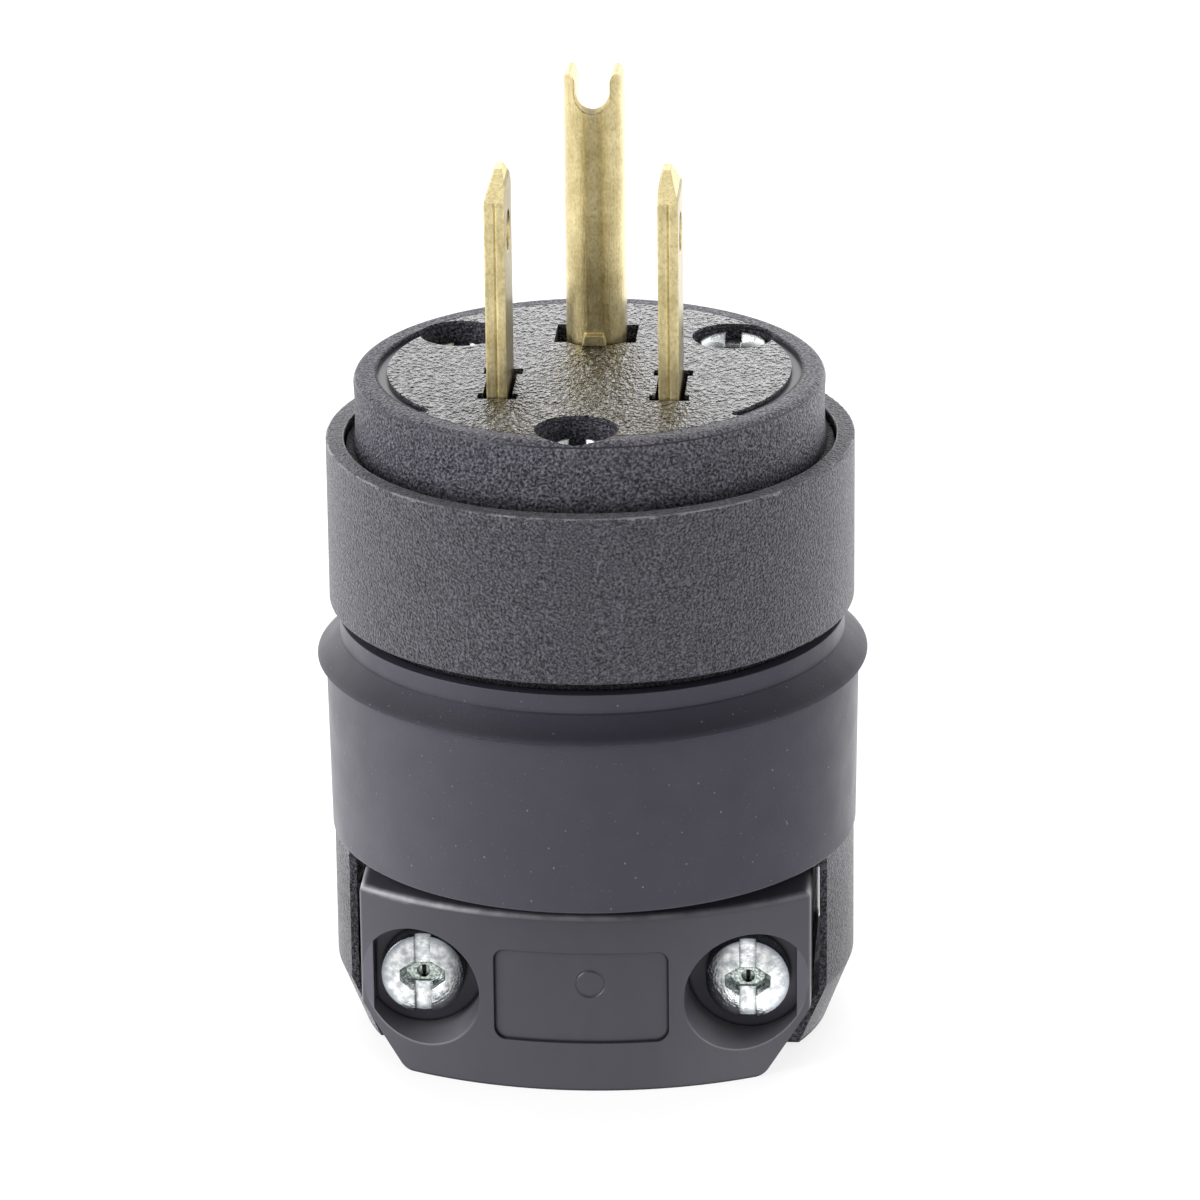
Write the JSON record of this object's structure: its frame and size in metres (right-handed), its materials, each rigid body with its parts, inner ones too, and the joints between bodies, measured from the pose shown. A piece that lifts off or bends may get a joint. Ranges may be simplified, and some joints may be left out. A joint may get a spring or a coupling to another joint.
{
  "type": "rubber power plug",
  "caption": "Round rubber-bodied grounding plug with flat brass blades, a channel-shaped ground pin, a flared grip band and a split, screwed cord clamp.",
  "frame": {"origin": "centre of the bounding box's bottom face: the plane on which the plug stands on its cord clamp", "axes": "+Z along the plug's axis, out along the blades; -Y is the side of the clamp screw heads, towards the picture's camera; the ground pin is on the +Y side of the blades; +X is to the picture's right"},
  "size_m": [0.0416, 0.0416, 0.0722],
  "materials": {
    "cover_plastic": "leather grain, semi-gloss",
    "block_plastic": "matte",
    "shell_plastic": "fine sand texture",
    "band_rubber": "smooth matte rubber",
    "clamp_plastic": "smooth satin",
    "blade_brass": "satin, drawn along the length",
    "screw_brass": "bright",
    "zinc_steel": "zinc plated",
    "green_steel": "green plated"
  },
  "bodies": {
    "root": {"front_cover": "cover_plastic", "terminal_block": "block_plastic", "outer_shell": "shell_plastic", "grip_band": "band_rubber", "clamp_front": "clamp_plastic", "clamp_rear": "clamp_plastic", "clamp_screw_left": "zinc_steel", "clamp_screw_right": "zinc_steel", "clamp_nut_left": "zinc_steel", "clamp_nut_right": "zinc_steel", "assembly_screw_front": "zinc_steel", "assembly_screw_rear_left": "zinc_steel", "assembly_screw_rear_right": "zinc_steel", "blade_line": "blade_brass", "blade_neutral": "blade_brass", "ground_pin": "blade_brass", "terminal_screw_line": "screw_brass", "terminal_screw_neutral": "zinc_steel", "terminal_screw_ground": "green_steel", "pressure_plate_line": "zinc_steel", "pressure_plate_neutral": "zinc_steel", "pressure_plate_ground": "zinc_steel"}
  },
  "joints": []
}
